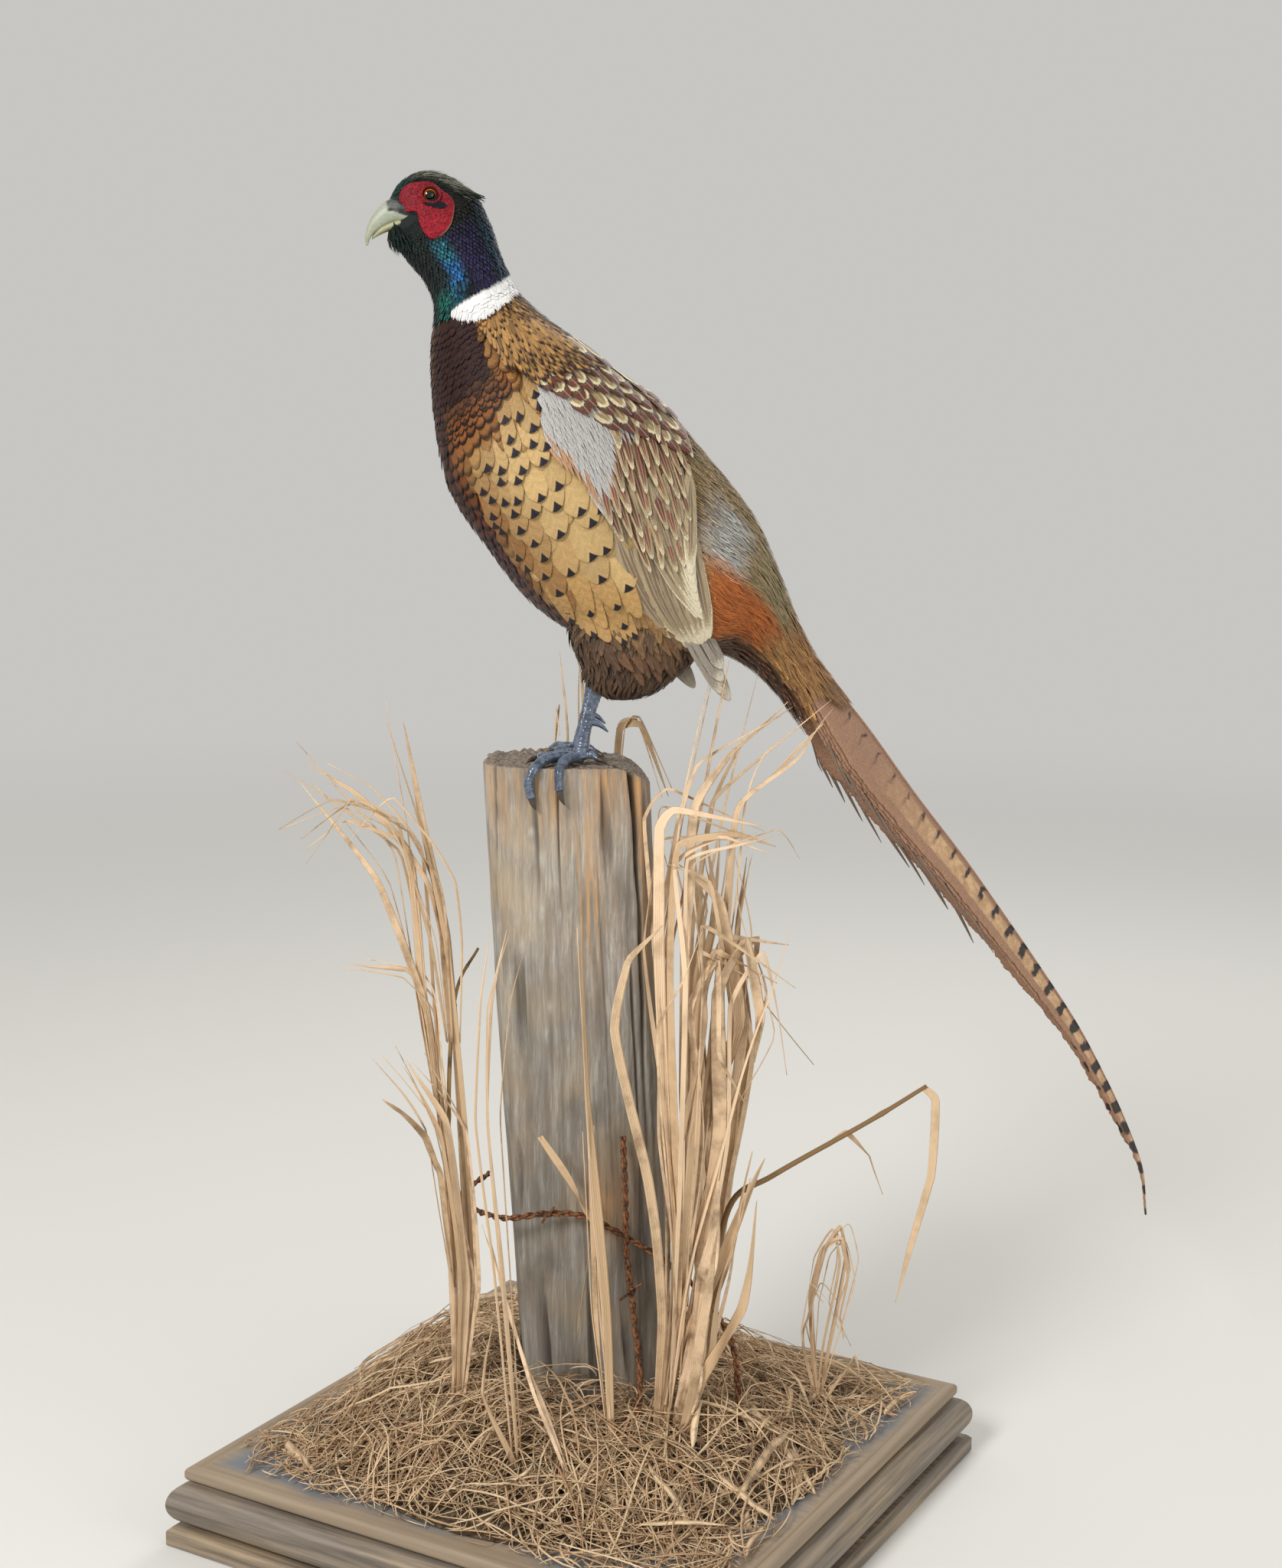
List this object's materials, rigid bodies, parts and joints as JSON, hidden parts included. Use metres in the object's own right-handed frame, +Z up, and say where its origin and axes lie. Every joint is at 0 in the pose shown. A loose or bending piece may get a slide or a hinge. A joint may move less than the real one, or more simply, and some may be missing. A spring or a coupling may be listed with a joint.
{
  "type": "taxidermy pheasant on a fence post",
  "caption": "Mounted ring-necked cock pheasant, life size, standing alert on a weathered fence post in a square moulded base with dry grass.",
  "frame": {"origin": "middle of the base's underside, on the floor", "axes": "+Z up; the base's sides lie along X and Y; the bird's bill points toward -X -Y and its tail toward +X +Y"},
  "size_m": [0.4941, 0.4984, 0.8785],
  "materials": {
    "base_wood": "weathered, oiled softwood moulding, satin",
    "board_paint": "thin blue-grey paint over a board, matt, with a bare brown edge",
    "post_wood": "grey, split and weathered timber, matt",
    "earth": "dark earth under matted dry straw, matt",
    "straw": "dry grass leaves and stems, matt to satin",
    "wire": "rusted fence wire, rough",
    "dark_plumage": "glossy green-blue and purple feathers with a white collar",
    "body_plumage": "copper, maroon, golden buff and brown barred feathers",
    "wing_plumage": "grey-blue, buff and brown streaked wing feathers",
    "tail_plumage": "long buff-brown feathers with dark cross bars",
    "leg_scales": "blue-grey scaled skin, lacquered",
    "claw": "dark horn",
    "bill": "pale greenish horn",
    "wattle": "red warty bare skin",
    "eye_glass": "orange glass eye with a black pupil"
  },
  "bodies": {
    "root": {"base_plinth": "base_wood", "base_moulding": "base_wood", "base_board": "board_paint", "post": "post_wood", "ground_mound": "earth", "grass_left": "straw", "grass_right": "straw", "grass_right_back": "straw", "grass_bent_stem": "straw", "grass_small_right": "straw", "grass_front": "straw", "grass_front_left": "straw", "grass_behind_post": "straw", "fence_wire_across": "wire", "fence_wire_down": "wire", "shank_left": "leg_scales", "foot_left": "leg_scales", "claw_left_inner": "claw", "claw_left_middle": "claw", "claw_left_outer": "claw", "claw_left_hind": "claw", "shank_right": "leg_scales", "foot_right": "leg_scales", "claw_right_inner": "claw", "claw_right_middle": "claw", "claw_right_outer": "claw", "claw_right_hind": "claw", "head": "dark_plumage", "neck": "dark_plumage", "bill_upper": "bill", "bill_lower": "bill", "eye_left": "eye_glass", "eye_right": "eye_glass", "wattle_left": "wattle", "wattle_right": "wattle", "ear_tuft_left": "dark_plumage", "ear_tuft_right": "dark_plumage", "trunk": "body_plumage", "wing_left": "wing_plumage", "wing_right": "wing_plumage", "primaries_left": "wing_plumage", "primaries_right": "wing_plumage", "thigh_left": "body_plumage", "thigh_right": "body_plumage", "tail_middle_left": "tail_plumage", "tail_middle_right": "tail_plumage", "tail_side_left_1": "tail_plumage", "tail_side_right_1": "tail_plumage", "tail_side_left_2": "tail_plumage", "tail_side_right_2": "tail_plumage", "tail_side_left_3": "tail_plumage", "tail_side_right_3": "tail_plumage", "tail_side_left_4": "tail_plumage", "tail_side_right_4": "tail_plumage", "tail_coverts": "body_plumage"}
  },
  "joints": []
}
